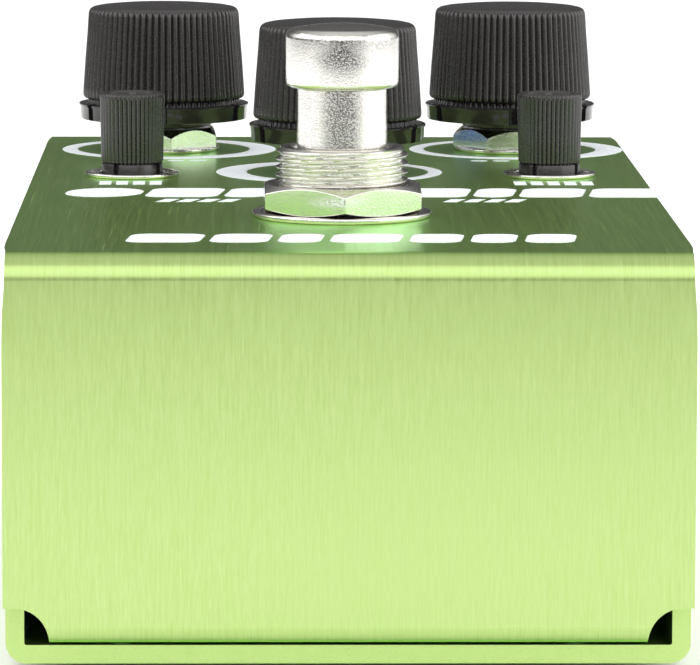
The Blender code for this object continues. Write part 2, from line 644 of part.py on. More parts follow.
def make_dc_jack():
    face = FLAP_OUTER - 0.1 * MM
    body = block("dc_jack_body", DC_BODY, BLACK, (0, face - DC_BODY[1] / 2, DC_HEIGHT))
    turn = (math.radians(-90), 0, 0)
    mouth = (0, face, DC_HEIGHT)
    drill(body, DC_BORE_RADIUS, -DC_BORE_DEPTH, MM, mouth, turn)
    tip, root = -1.2 * MM, GAP - DC_BORE_DEPTH
    turned("dc_jack_pin", [
        (0, tip), (0.6 * MM, tip), (DC_PIN_RADIUS, tip - 0.6 * MM), (DC_PIN_RADIUS, root),
        (0, root)], NICKEL, mouth, turn, segments=16)


def make_battery():
    bx, by, bz = BATTERY_CENTRE
    battery = block("battery", BATTERY, STEEL, BATTERY_CENTRE, 1.2 * MM)
    end = bx + BATTERY[0] / 2
    lying = (0, math.radians(90), 0)
    snap_low = end + GAP
    snap = block("battery_snap", SNAP, BLACK, (snap_low + SNAP[0] / 2, by, bz), 0.8 * MM)
    for offset in (-STUD_OFFSET, STUD_OFFSET):
        weld_on(battery, rod_mesh(f"stud_{offset:.4f}", STUD_RADIUS, -MM, STUD_HEIGHT, 16),
                (end, by, bz + offset), lying)
        drill(snap, STUD_RADIUS + GAP, -MM, STUD_HEIGHT, (snap_low, by, bz + offset), lying, 16)
    foam_top = bz - BATTERY[2] / 2 - GAP
    foam_low = BASE_TOP + GAP
    block("battery_foam", (*FOAM, foam_top - foam_low), SPONGE,
          (bx, FOAM_Y, (foam_top + foam_low) / 2))

    start = snap_low + SNAP[0] + 2 * GAP
    lane = 24.8 * MM
    route = [Vector((start, by + 2 * MM, bz)),
             Vector((start + 1.6 * MM, by + 2.3 * MM, bz)),
             Vector((lane, -34 * MM, bz - MM)),
             Vector((lane, -12 * MM, bz - 2 * MM)),
             Vector((lane - MM, 4 * MM, bz)),
             Vector((lane - 2 * MM, 9.5 * MM, 22.5 * MM)),
             Vector((lane - 2 * MM, 10.5 * MM, BOARD_BOTTOM - GAP))]
    wire("battery_lead", smooth_route(route, 3), BATTERY_LEAD_RADIUS, RUBBER)


def make_looms():
    """Ribbon from the footswitch to the board, and a lead from each jack to the board."""
    ribbon = [Vector((0, SWITCH_AT[1] + HOUSING_WIDTH / 2 + GAP, 16.6 * MM)),
              Vector((0, -12 * MM, 16.6 * MM)), Vector((0, -4 * MM, 18 * MM)),
              Vector((0, 3.5 * MM, 22 * MM)), Vector((0, 7.5 * MM, 24.6 * MM)),
              Vector((0, 12.5 * MM, 25.2 * MM))]
    route = smooth_route(ribbon, 4)
    shape = bmesh.new()
    left = Vector((0.5 * MM - RIBBON_WIDTH, 0, 0))
    line = [shape.verts.new(point + left) for point in route]
    edges = [shape.edges.new(pair) for pair in zip(line, line[1:])]
    swept = bmesh.ops.extrude_edge_only(shape, edges=edges)
    moved = [item for item in swept["geom"] if isinstance(item, bmesh.types.BMVert)]
    bmesh.ops.translate(shape, verts=moved, vec=(RIBBON_WIDTH, 0, 0))
    mesh = bpy.data.meshes.new("switch_ribbon")
    shape.to_mesh(mesh)
    shape.free()
    flat = add_part("switch_ribbon", mesh, GREY)
    wall = flat.modifiers.new("gauge", "SOLIDIFY")
    wall.thickness = RIBBON_THICKNESS
    wall.offset = 0

    for role, (side, y) in JACKS.items():
        tail = WALL_OUTER - SHEET - GAP - JACK_BODY[0] - GAP
        route = [Vector((side * tail, y, JACK_HEIGHT)),
                 Vector((side * (tail - 2.5 * MM), y, JACK_HEIGHT + 0.5 * MM)),
                 Vector((side * (tail - 4.0 * MM), y, 19 * MM)),
                 Vector((side * (tail - 3.4 * MM), y, BOARD_BOTTOM - GAP))]
        wire(f"{role}_lead", smooth_route(route, 4), LEAD_RADIUS, RUBBER)


make_top_shell()
make_base_chassis()
make_fasteners()
make_footswitch()
for place in KNOBS_AT:
    make_large_control(place)
for place in MINIS_AT:
    make_mini_control(place)
make_led()
make_board()
for place in JACKS:
    make_jack(place)
make_dc_jack()
make_battery()
make_looms()
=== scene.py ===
import math

import bmesh
import bpy
from mathutils import Matrix, Vector


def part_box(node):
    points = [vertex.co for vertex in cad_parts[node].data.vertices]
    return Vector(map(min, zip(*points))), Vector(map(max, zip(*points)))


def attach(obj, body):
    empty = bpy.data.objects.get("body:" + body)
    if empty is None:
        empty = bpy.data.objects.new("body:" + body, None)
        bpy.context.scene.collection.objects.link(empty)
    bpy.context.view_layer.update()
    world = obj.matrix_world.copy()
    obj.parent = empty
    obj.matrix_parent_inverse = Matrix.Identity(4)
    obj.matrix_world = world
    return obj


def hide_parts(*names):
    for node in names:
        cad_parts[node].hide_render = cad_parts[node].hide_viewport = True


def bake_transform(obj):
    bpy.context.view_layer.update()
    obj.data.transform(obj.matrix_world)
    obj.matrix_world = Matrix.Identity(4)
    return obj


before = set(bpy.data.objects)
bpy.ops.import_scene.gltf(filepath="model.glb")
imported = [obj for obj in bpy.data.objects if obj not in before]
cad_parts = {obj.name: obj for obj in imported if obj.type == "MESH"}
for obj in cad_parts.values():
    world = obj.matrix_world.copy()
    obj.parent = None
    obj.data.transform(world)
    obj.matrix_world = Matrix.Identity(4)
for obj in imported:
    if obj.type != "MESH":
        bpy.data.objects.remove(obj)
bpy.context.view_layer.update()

MM = 0.001

# ---------------------------------------------------------------- sizes, from the frame
SHELL_LOW, SHELL_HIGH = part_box("top_shell")
BASE_LOW, BASE_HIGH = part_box("base_chassis")
PANEL = SHELL_HIGH.z
SHEET = 1.6 * MM
UNDER = PANEL - SHEET
LIP_BOTTOM = SHELL_LOW.z
FLAP = SHELL_HIGH.y
HALF_WIDTH = SHELL_HIGH.x
LIP_LENGTH = 8.7 * MM
TOP_BEND = 2.3 * MM
LIP_BEND = 1.8 * MM
BASE_BEND = 1.8 * MM
BEND_STEPS = 14
RELIEF_RADIUS = 2.95 * MM
RELIEF_FROM_SIDE = 0.95 * MM
RELIEF_RISE = 2.15 * MM


def axis_of(node):
    """Centre of a turned node, seen from above."""
    low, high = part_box(node)
    return ((low.x + high.x) / 2, (low.y + high.y) / 2)


SWITCH = axis_of("switch_bushing")
KNOBS = {side: axis_of(f"knob_{side}") for side in ("left", "middle", "right")}
MINIS = {side: axis_of(f"mini_knob_{side}") for side in ("left", "right")}
LED = axis_of("led_lens")


# ---------------------------------------------------------------- camera, light and stage
CAMERA_AT = (-8.03 * MM, -507.5 * MM, 87.96 * MM)
YAW, PITCH, ROLL = 0.0178, 0.1272, 0.0029      # radians; pitch is downwards
FOCAL_LENGTH, SENSOR_WIDTH = 277.2, 36.0       # the lens's own millimetres
CARD_LIFT = 0.3 * MM
DARK_ROOM, LIT_ROOM = (0.11, 0.11, 0.11), (0.94, 0.94, 0.92)


def add_object(name, data):
    obj = bpy.data.objects.new(name, data)
    bpy.context.scene.collection.objects.link(obj)
    return obj


def place_camera():
    """The photograph's viewpoint: a long lens, low in front of the footswitch end."""
    ahead = Vector((math.sin(YAW) * math.cos(PITCH), math.cos(YAW) * math.cos(PITCH),
                    -math.sin(PITCH)))
    right = Vector((math.cos(YAW), -math.sin(YAW), 0.0))
    up = right.cross(ahead)
    turned_right = right * math.cos(ROLL) + up * math.sin(ROLL)
    turned_up = up * math.cos(ROLL) - right * math.sin(ROLL)
    lens = bpy.data.cameras.new("camera")
    lens.sensor_width = SENSOR_WIDTH
    lens.lens = FOCAL_LENGTH
    lens.clip_start = 0.01
    lens.clip_end = 50.0
    camera = add_object("camera", lens)
    turn = Matrix((turned_right, turned_up, -ahead)).transposed()
    camera.matrix_world = Matrix.Translation(CAMERA_AT) @ turn.to_4x4()
    bpy.context.scene.camera = camera


def softbox(name, at, target, size, power):
    light = bpy.data.lights.new(name, "AREA")
    light.shape = "RECTANGLE"
    light.size, light.size_y = size
    light.energy = power
    obj = add_object(name, light)
    obj.location = at
    obj.rotation_euler = (Vector(target) - Vector(at)).to_track_quat("-Z", "Y").to_euler()
    return obj


def plane(name, centre, across, along, look):
    """A flat rectangle spanned by two half-edge vectors."""
    across, along, centre = Vector(across), Vector(along), Vector(centre)
    mesh = bpy.data.meshes.new(name)
    corners = [centre - across - along, centre + across - along,
               centre + across + along, centre - across + along]
    mesh.from_pydata([tuple(c) for c in corners], [], [(0, 1, 2, 3)])
    mesh.materials.append(look)
    return add_object(name, mesh)


def build_world():
    """Soft light from the upper front and both sides; the ceiling and the low room are dark."""
    world = bpy.data.worlds.new("studio")
    bpy.context.scene.world = world
    world.use_nodes = True
    graph = Graph(world)
    way = graph.add("SeparateXYZ")
    graph.join(graph.add("TexCoord").outputs["Generated"], way.inputs["Vector"])
    left = graph.math("MULTIPLY", graph.remap(way.outputs["X"], -0.82, -0.56, 1, 0),
                      graph.remap(way.outputs["Z"], 0.10, 0.30, 0, 1))
    right = graph.math("MULTIPLY", graph.remap(way.outputs["X"], 0.44, 0.70, 0, 1),
                       graph.remap(way.outputs["Z"], 0.02, 0.16, 0.5, 1))
    side = graph.math("MAXIMUM", left, right)
    front = graph.math("MULTIPLY", graph.remap(way.outputs["Y"], -0.62, -0.15, 1, 0),
                       graph.remap(way.outputs["Z"], 0.04, 0.26, 0.1, 1))
    above = graph.remap(way.outputs["Z"], 0.42, 0.95, 0, 0.72)
    lit = graph.math("MAXIMUM", side, graph.math("MAXIMUM", front, above))
    room = graph.nodes["Background"]
    graph.join(graph.blend(lit, DARK_ROOM, LIT_ROOM), room.inputs["Color"])
    plain = graph.add("Background")
    mix = graph.add("MixShader")
    graph.join(graph.add("LightPath").outputs["Is Camera Ray"], mix.inputs["Fac"])
    graph.join(room.outputs["Background"], mix.inputs[1])
    graph.join(plain.outputs["Background"], mix.inputs[2])
    graph.join(mix.outputs["Shader"], graph.nodes["World Output"].inputs["Surface"])
    plain.inputs["Color"].default_value = (1.0, 1.0, 1.0, 1.0)


def fading_card(name, near, far, near_tone, far_tone):
    """A matt card with painted shade, seen only in reflections: it darkens towards -Y, the side
    away from the object, and to its middle.
    """
    made = material(name, (0.5, 0.5, 0.5), 0.9)
    graph = Graph(made)
    way = graph.add("SeparateXYZ")
    graph.join(graph.add("TexCoord").outputs["Object"], way.inputs["Vector"])
    fade = graph.remap(way.outputs["Y"], far, near, 0, 1)
    across = graph.math("ABSOLUTE", graph.math("ADD", way.outputs["X"], 0.05), 0.0)
    fade = graph.math("MAXIMUM", fade, graph.remap(across, 0.34, 0.66, 0, 1))
    graph.colour(graph.blend(fade, (far_tone,) * 3, (near_tone,) * 3))
    return made


def build_stage():
    floor = plane("floor", (0, 0, 0), (6, 0, 0), (0, 6, 0),
                  material("floor_paper", (0.93, 0.93, 0.93), 0.8))
    near, far = -0.24, -0.44
    # the front card is hidden from the camera; its dark part is painted shade for the unlit room in
    # reflections
    card = plane("front_card", (0, -2.40, CARD_LIFT), (0.75, 0, 0), (0, 2.30, 0),
                 fading_card("painted_shade_card", near, far, 0.93, 0.06))
    card.visible_camera = False
    card.visible_shadow = False
    softbox("front_top", (0, -0.85, 0.66), (0, 0.05, 0), (1.7, 0.95), 3.2)
    ceiling = softbox("ceiling", (0, -0.25, 1.1), (0, -0.2, 0), (1.2, 1.2), 8.2)
    ceiling.visible_glossy = False
    softbox("left_box", (-0.60, -0.10, 0.44), (0, 0, 0.02), (0.9, 0.45), 1.5)
    softbox("right_box", (0.62, -0.10, 0.30), (0, 0, 0.02), (0.9, 0.55), 1.5)
    fill = softbox("rear_fill", (0, 0.95, 1.1), (0, 0.9, 0), (1.6, 0.8), 6.5)
    fill.visible_glossy = False


# ---------------------------------------------------------------- materials
def material(name, colour, roughness, metallic=0.0, **sockets):
    """A Principled material; extra sockets are set by name."""
    made = bpy.data.materials.new(name)
    made.use_nodes = True
    shader = made.node_tree.nodes["Principled BSDF"]
    shader.inputs["Base Color"].default_value = (*colour, 1.0)
    shader.inputs["Roughness"].default_value = roughness
    shader.inputs["Metallic"].default_value = metallic
    for socket, value in sockets.items():
        shader.inputs[socket.replace("_", " ")].default_value = value
    return made


class Graph:
    """Short calls for building a material's node graph."""

    def __init__(self, made):
        self.nodes, self.links = made.node_tree.nodes, made.node_tree.links
        self.shader = self.nodes.get("Principled BSDF")

    def add(self, kind, **settings):
        node = self.nodes.new(f"ShaderNode{kind}")
        for name, value in settings.items():
            setattr(node, name, value)
        return node

    def join(self, source, target):
        self.links.new(source, target)

    def place(self, stretch):
        """Object coordinates, scaled per axis (cycles per metre)."""
        where = self.add("TexCoord")
        scale = self.add("Mapping")
        scale.inputs["Scale"].default_value = stretch
        self.join(where.outputs["Object"], scale.inputs["Vector"])
        return scale.outputs["Vector"]

    def noise(self, stretch, detail=2.0, rough=0.5):
        node = self.add("TexNoise")
        node.inputs["Scale"].default_value = 1.0
        node.inputs["Detail"].default_value = detail
        node.inputs["Roughness"].default_value = rough
        self.join(self.place(stretch), node.inputs["Vector"])
        return node.outputs["Fac"]

    def remap(self, value, low, high, to_low, to_high):
        node = self.add("MapRange")
        for socket, number in zip(("From Min", "From Max", "To Min", "To Max"),
                                  (low, high, to_low, to_high)):
            node.inputs[socket].default_value = number
        self.join(value, node.inputs["Value"])
        return node.outputs["Result"]

    def math(self, operation, first, second):
        node = self.add("Math", operation=operation)
        for socket, value in zip(node.inputs, (first, second)):
            if isinstance(value, (int, float)):
                socket.default_value = value
            else:
                self.join(value, socket)
        return node.outputs["Value"]

    def blend(self, factor, first, second):
        """Mix two colours, each a tuple or a socket."""
        node = self.add("Mix", data_type="RGBA")
        for socket, value in ((node.inputs[6], first), (node.inputs[7], second)):
            if isinstance(value, tuple):
                socket.default_value = (*value, 1.0)
            else:
                self.join(value, socket)
        self.join(factor, node.inputs[0])
        return node.outputs[2]

    def colour(self, value):
        self.join(value, self.shader.inputs["Base Color"])

    def roughness(self, value):
        self.join(value, self.shader.inputs["Roughness"])

    def bump(self, height, distance):
        node = self.add("Bump")
        node.inputs["Distance"].default_value = distance
        self.join(height, node.inputs["Height"])
        self.join(node.outputs["Normal"], self.shader.inputs["Normal"])


def mottled(name, colour, roughness, metallic=0.0, grain=0.4 * MM, spread=0.25, depth=0.004 * MM,
            **sockets):
    """A moulded, plated or painted surface: slight colour, roughness and height variation."""
    made = material(name, colour, roughness, metallic, **sockets)
    graph = Graph(made)
    fine = graph.noise((1 / grain,) * 3, 3.0)
    broad = graph.noise((0.12 / grain,) * 3, 2.0)
    darker = tuple(c * (1 - spread) for c in colour)
    lighter = tuple(min(1.0, c * (1 + spread)) for c in colour)
    both = graph.math("MULTIPLY_ADD", fine, 0.5)
    graph.join(graph.math("MULTIPLY", broad, 0.5), both.node.inputs[2])
    graph.colour(graph.blend(graph.remap(both, 0.35, 0.65, 0, 1), darker, lighter))
    graph.roughness(graph.remap(fine, 0.3, 0.7, roughness * 0.82, roughness * 1.18))
    graph.bump(fine, depth)
    return made


def brushed_green(name, fine_grain, coarse_grain, roughness, edge_axis, run=None):
    """Anodised aluminium with a linear grain; cut edges, which face edge_axis, are rougher.

    The sheen spreads across the grain: along X, or square to the run where one is given.
    """
    deep, bright = (0.43, 0.585, 0.185), (0.525, 0.685, 0.265)
    made = material(name, deep, roughness, 0.87, Anisotropic=0.75,
                    Specular_Tint=(0.36, 1.0, 0.22, 1.0), Coat_Weight=0.5, Coat_Roughness=0.18)
    graph = Graph(made)
    fine = graph.noise(fine_grain, 2.0, 0.6)
    medium = graph.noise(coarse_grain, 2.0, 0.55)
    cloud = graph.noise((28, 28, 28), 2.0)
    scratch = graph.remap(graph.noise(tuple(1.4 * c for c in coarse_grain), 1.0),
                          0.66, 0.78, 0, 1)
    grain = graph.math("ADD", graph.math("MULTIPLY", fine, 0.5),
                       graph.math("MULTIPLY", medium, 0.5))
    tone = graph.blend(graph.remap(grain, 0.36, 0.64, 0, 1), deep, bright)
    mid = tuple((a + b) / 2 for a, b in zip(deep, bright))
    tone = graph.blend(graph.remap(cloud, 0.35, 0.65, 0, 0.45), tone, mid)
    shine = tuple(min(1.0, 0.15 + b) for b in bright)
    tone = graph.blend(graph.math("MULTIPLY", scratch, 0.35), tone, shine)

    facing = graph.add("NewGeometry")
    split = graph.add("SeparateXYZ")
    graph.join(facing.outputs["Normal"], split.inputs["Vector"])
    edge = graph.remap(graph.math("ABSOLUTE", split.outputs[edge_axis], 0.0), 0.80, 0.95, 0, 1)
    graph.colour(graph.blend(edge, tone, (0.56, 0.745, 0.262)))
    rough = graph.remap(grain, 0.35, 0.65, roughness * 0.8, roughness * 1.2)
    rough = graph.math("ADD", rough, graph.math("MULTIPLY", scratch, 0.25))
    graph.roughness(graph.math("ADD", rough, graph.math("MULTIPLY", edge, 0.16)))
    torn = graph.noise((2600, 2600, 2600), 3.0, 0.6)
    height = graph.math("ADD", graph.math("MULTIPLY", fine, 0.35),
                        graph.math("MULTIPLY", medium, 0.7))
    height = graph.math("ADD", height, graph.math("MULTIPLY", edge,
                                                  graph.math("MULTIPLY", torn, 3.0)))
    graph.bump(height, 0.006 * MM)
    graph.join(graph.shader.inputs["Normal"].links[0].from_socket,
               graph.shader.inputs["Coat Normal"])
    if run:
        across = graph.add("VectorMath", operation="CROSS_PRODUCT")
        graph.join(facing.outputs["Normal"], across.inputs[0])
        across.inputs[1].default_value = run
    else:
        across = graph.add("CombineXYZ")
        across.inputs["X"].default_value = 1.0
    graph.join(across.outputs["Vector"], graph.shader.inputs["Tangent"])
    return made


SPECKLE_DEPTH = 0.006 * MM


def plated(name, colour, roughness):
    """Bright nickel plate over a slightly grainy turned surface."""
    made = material(name, colour, roughness, 1.0)
    graph = Graph(made)
    fine = graph.remap(graph.noise((6800, 6800, 6800), 1.0, 0.6), 0.50, 0.68, 0, 1)
    broad = graph.noise((420, 420, 420), 2.0)
    graph.colour(graph.blend(graph.remap(broad, 0.3, 0.7, 0, 1),
                             tuple(c * 0.93 for c in colour), colour))
    graph.roughness(graph.remap(fine, 0, 1, roughness * 0.8, roughness * 1.5))
    graph.bump(fine, SPECKLE_DEPTH)
    return made


def circuit(name, mask, copper):
    """Solder mask with paler copper tracks under it."""
    made = material(name, mask, 0.35, Coat_Weight=0.4)
    graph = Graph(made)
    cells = graph.add("TexBrick")
    cells.inputs["Scale"].default_value = 1.0
    cells.inputs["Mortar Size"].default_value = 0.06
    graph.join(graph.place((260, 260, 260)), cells.inputs["Vector"])
    graph.colour(graph.blend(graph.math("MULTIPLY", cells.outputs["Fac"], 0.8), mask, copper))
    return made


def printed(name, colour):
    """Screen-printed ink, slightly uneven."""
    made = material(name, colour, 0.5)
    graph = Graph(made)
    fine = graph.noise((5200, 700, 700), 2.0)
    graph.colour(graph.blend(graph.remap(fine, 0.35, 0.7, 0, 1),
                             tuple(c * 0.9 for c in colour), colour))
    graph.bump(fine, 0.004 * MM)
    return made


LOOKS = {
    "shell": brushed_green("green_shell", (8500, 120, 700), (3800, 50, 210), 0.36, "X"),
    "base": brushed_green("green_base", (8500, 420, 8500), (3600, 110, 3600), 0.36, "Y",
                          (0, 1, 0)),
    "nickel": plated("bright_nickel", (0.86, 0.84, 0.80), 0.12),
    "steel": mottled("zinc_steel", (0.62, 0.63, 0.64), 0.34, 1.0, spread=0.1),
    "knob": mottled("knob_black", (0.022, 0.0195, 0.0195), 0.24, grain=0.25 * MM, spread=0.15,
                    depth=0.0015 * MM, Specular_IOR_Level=0.75),
    "gloss": mottled("knob_gloss", (0.014, 0.0125, 0.013), 0.12, grain=0.5 * MM),
    "plastic": mottled("black_plastic", (0.02, 0.02, 0.022), 0.42),
    "rubber": mottled("black_rubber", (0.03, 0.03, 0.03), 0.85, grain=0.15 * MM, depth=0.02 * MM),
    "print": printed("white_ink", (0.80, 0.84, 0.88)),
    "lens": mottled("lamp_lens", (0.08, 0.22, 0.75), 0.08, spread=0.1, Transmission_Weight=0.35,
                    Coat_Weight=0.5),
    "phenolic": mottled("phenolic", (0.12, 0.055, 0.03), 0.5, grain=0.8 * MM),
    "board": circuit("circuit_board", (0.015, 0.16, 0.07), (0.05, 0.30, 0.14)),
    "foam": mottled("grey_foam", (0.16, 0.16, 0.17), 0.95, grain=0.5 * MM, depth=0.15 * MM),
    "battery": mottled("battery_wrap", (0.07, 0.07, 0.08), 0.3, grain=1.2 * MM, Coat_Weight=0.5),
    "lead": mottled("black_pvc", (0.02, 0.02, 0.02), 0.38, grain=0.3 * MM),
    "ribbon": mottled("grey_pvc", (0.42, 0.42, 0.43), 0.5, grain=0.6 * MM, spread=0.12),
}


# ---------------------------------------------------------------- shape helpers
def finish_mesh(name, shape, look, sharp=30.0):
    bmesh.ops.recalc_face_normals(shape, faces=shape.faces)
    mesh = bpy.data.meshes.new(name)
    shape.to_mesh(mesh)
    shape.free()
    mesh.shade_smooth()
    mesh.set_sharp_from_angle(angle=math.radians(sharp))
    if look is not None:
        mesh.materials.append(look)
    return add_object(name, mesh)


def arc(centre, radius, start, end, steps):
    """Points on an arc, angles in degrees."""
    return [(centre[0] + radius * math.cos(math.radians(start + (end - start) * i / steps)),
             centre[1] + radius * math.sin(math.radians(start + (end - start) * i / steps)))
            for i in range(steps + 1)]


def filleted(corners, radii, steps):
    """A path through the corners, with each inner corner rounded to its radius."""
    path = [Vector(corners[0])]
    for i, radius in enumerate(radii, start=1):
        corner = Vector(corners[i])
        back = Vector(corners[i - 1]) - corner
        ahead = Vector(corners[i + 1]) - corner
        half = back.angle(ahead) / 2
        if radius <= 0 or half > math.radians(88):
            path.append(corner)
            continue
        reach = min(radius / math.tan(half), back.length * 0.48, ahead.length * 0.48)
        radius = reach * math.tan(half)
        back, ahead = back.normalized(), ahead.normalized()
        centre = corner + (back + ahead).normalized() * (radius / math.sin(half))
        start = corner + back * reach - centre
        sweep = start.angle_signed(corner + ahead * reach - centre)
        path += [centre + Matrix.Rotation(-sweep * k / steps, 2) @ start
                 for k in range(steps + 1)]
    path.append(Vector(corners[-1]))
    return path


def softened(profile, radius=0.08 * MM, steps=3):
    """An open turning profile with every inner corner rounded a little."""
    return [tuple(p) for p in filleted(profile, [radius] * (len(profile) - 2), steps)]


def revolve(name, profile, look, at=(0, 0), segments=96, closed=False, reshape=None, sharp=30.0):
    """Turn (radius, z) points about a vertical axis; reshape(angle, radius, z) may move them."""
    shape = bmesh.new()
    rings = []
    for radius, z in profile:
        if radius < 1e-7:
            rings.append([shape.verts.new((0, 0, z))])
            continue
        ring = []
        for i in range(segments):
            angle = 2 * math.pi * i / segments
            r = reshape(angle, radius, z) if reshape else radius
            ring.append(shape.verts.new((r * math.cos(angle), r * math.sin(angle), z)))
        rings.append(ring)
    pairs = list(zip(rings, rings[1:])) + ([(rings[-1], rings[0])] if closed else [])
    for upper, lower in pairs:
        for i in range(segments):
            j = (i + 1) % segments
            if len(upper) == len(lower) == 1:
                break
            if len(upper) == 1:
                shape.faces.new((upper[0], lower[i], lower[j]))
            elif len(lower) == 1:
                shape.faces.new((upper[i], lower[0], upper[j]))
            else:
                shape.faces.new((upper[i], lower[i], lower[j], upper[j]))
    bmesh.ops.translate(shape, verts=shape.verts, vec=(at[0], at[1], 0))
    return finish_mesh(name, shape, look, sharp)


def ring_profile(outer, inner, low, high, edge=0.1 * MM):
    """A closed ring section with softened corners."""
    middle = (outer + inner) / 2
    corners = [(middle, high), (outer, high), (outer, low), (inner, low), (inner, high),
               (middle, high)]
    return [tuple(p) for p in filleted(corners, [edge] * 4, 3)][:-1]


def turn_about(obj, matrix):
    """Bake a placement into the mesh, so the object itself stays at the origin."""
    obj.data.transform(matrix)
    return obj


def cut_with(obj, tool, operation="DIFFERENCE"):
    """Apply a Boolean and remove the tool."""
    step = obj.modifiers.new("cut", "BOOLEAN")
    step.operation = operation
    step.object = tool
    final = obj.evaluated_get(bpy.context.evaluated_depsgraph_get())
    baked = bpy.data.meshes.new_from_object(final)
    obj.modifiers.clear()
    obj.data = baked
    bpy.data.objects.remove(tool, do_unlink=True)
    return obj


def prism(name, outline, low, high, axis="Z"):
    """A closed 2D outline swept along an axis; (x, y) for Z, (x, z) for Y, (y, z) for X."""
    lift = {"Z": lambda p, d: (p[0], p[1], d), "Y": lambda p, d: (p[0], d, p[1]),
            "X": lambda p, d: (d, p[0], p[1])}[axis]
    shape = bmesh.new()
    face = shape.faces.new([shape.verts.new(lift(p, low)) for p in outline])
    swept = bmesh.ops.extrude_face_region(shape, geom=[face])
    moved = [v for v in swept["geom"] if isinstance(v, bmesh.types.BMVert)]
    step = {"Z": (0, 0, high - low), "Y": (0, high - low, 0), "X": (high - low, 0, 0)}[axis]
    bmesh.ops.translate(shape, verts=moved, vec=step)
    return finish_mesh(name, shape, None)


def drum(name, at, radius, low, high, segments=96):
    circle = [(at[0] + x, at[1] + y) for x, y in arc((0, 0), radius, 0, 360, segments)[:-1]]
    return prism(name, circle, low, high)


def soften_edges(obj, width, segments=2, angle=40.0):
    """Round the sharp edges, and keep the flat faces' shading flat."""
    edge = obj.modifiers.new("edges", "BEVEL")
    edge.width = width
    edge.segments = segments
    edge.limit_method = "ANGLE"
    edge.angle_limit = math.radians(angle)
    even = obj.modifiers.new("flats", "WEIGHTED_NORMAL")
    even.keep_sharp = True


def on_case(obj, *nodes):
    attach(obj, "case")
    if nodes:
        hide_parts(*nodes)
    return obj


# ---------------------------------------------------------------- case
def folded_outline(corners, radii):
    """Outer and inner sides of a folded sheet as one closed outline."""
    outer = filleted(corners, radii, BEND_STEPS)
    middle = Vector((0, (SHELL_LOW.z + SHELL_HIGH.z) / 2))
    inner_corners = []
    count = len(corners)
    for i, corner in enumerate(corners):
        corner = Vector(corner)
        sides = []
        if i > 0:
            sides.append(corner - Vector(corners[i - 1]))
        if i < count - 1:
            sides.append(Vector(corners[i + 1]) - corner)
        shift = Vector((0, 0))
        for side in sides:
            normal = Vector((-side.y, side.x)).normalized()
            inward = normal if normal.dot(middle - corner) > 0 else -normal
            if (shift - inward).length > 1e-6 or len(sides) == 1:
                shift += inward
        inner_corners.append(corner + shift * SHEET)
    inner = filleted(inner_corners, [max(r - SHEET, 0.15 * MM) for r in radii], BEND_STEPS)
    return [tuple(p) for p in outer] + [tuple(p) for p in reversed(inner)]


def draw_in(obj, amount):
    """Narrow the sheet a little where it is bent over at the panel's two ends."""
    full, none = TOP_BEND, 7.5 * MM
    for vertex in obj.data.vertices:
        co = vertex.co
        from_bend = max(FLAP - abs(co.y), PANEL - co.z)
        share = min(max((none - from_bend) / (none - full), 0.0), 1.0)
        co.x -= math.copysign(amount * share * share, co.x)


def make_shell():
    lip_end = FLAP - LIP_LENGTH
    front = [(-lip_end, LIP_BOTTOM), (-FLAP, LIP_BOTTOM), (-FLAP, PANEL - 8 * MM),
             (-FLAP, PANEL - 5 * MM), (-FLAP, PANEL), (5 * MM - FLAP, PANEL),
             (8 * MM - FLAP, PANEL)]
    corners = front + [(-y, z) for y, z in reversed(front)]
    radii = [LIP_BEND, 0, 0, TOP_BEND, 0, 0]
    outline = folded_outline(corners, radii + radii[::-1])
    shell = prism("case_top", outline, -HALF_WIDTH, HALF_WIDTH, "X")
    draw_in(shell, 0.28 * MM)

    centre_x = HALF_WIDTH - RELIEF_FROM_SIDE
    relief_z = BASE_LOW.z + RELIEF_RISE
    relief = arc((centre_x, relief_z), RELIEF_RADIUS, 90, 180, 24)
    relief += [(centre_x - RELIEF_RADIUS, 0), (HALF_WIDTH + MM, 0),
               (HALF_WIDTH + MM, relief_z + RELIEF_RADIUS)]
    for side in (1, -1):
        cut_with(shell, prism("relief", [(side * x, z) for x, z in relief], -2 * FLAP,
                              2 * FLAP, "Y"))
    low, high = UNDER - MM, PANEL + MM
    cut_with(shell, drum("hole", SWITCH, 6.25 * MM, low, high))
    for at in KNOBS.values():
        cut_with(shell, drum("hole", at, 3.9 * MM, low, high, 64))
    for at in MINIS.values():
        cut_with(shell, drum("hole", at, 3.5 * MM, low, high, 64))
    cut_with(shell, drum("hole", LED, 2.7 * MM, low, high, 64))
    for index in range(1, 5):
        cut_with(shell, drum("hole", axis_of(f"clinch_nut_{index}"), 2.3 * MM,
                             LIP_BOTTOM - MM, LIP_BOTTOM + SHEET + MM, 32))
    dc_low, dc_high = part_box("dc_jack_body")
    slack = 0.25 * MM
    window = [(dc_low.x - slack, dc_low.z - slack), (dc_high.x + slack, dc_low.z - slack),
              (dc_high.x + slack, dc_high.z + slack), (dc_low.x - slack, dc_high.z + slack)]
    cut_with(shell, prism("window", window, FLAP - 3 * MM, FLAP + MM, "Y"))
    shell.data.materials.clear()
    shell.data.materials.append(LOOKS["shell"])
    soften_edges(shell, 0.22 * MM, 3)
    on_case(shell, "top_shell")


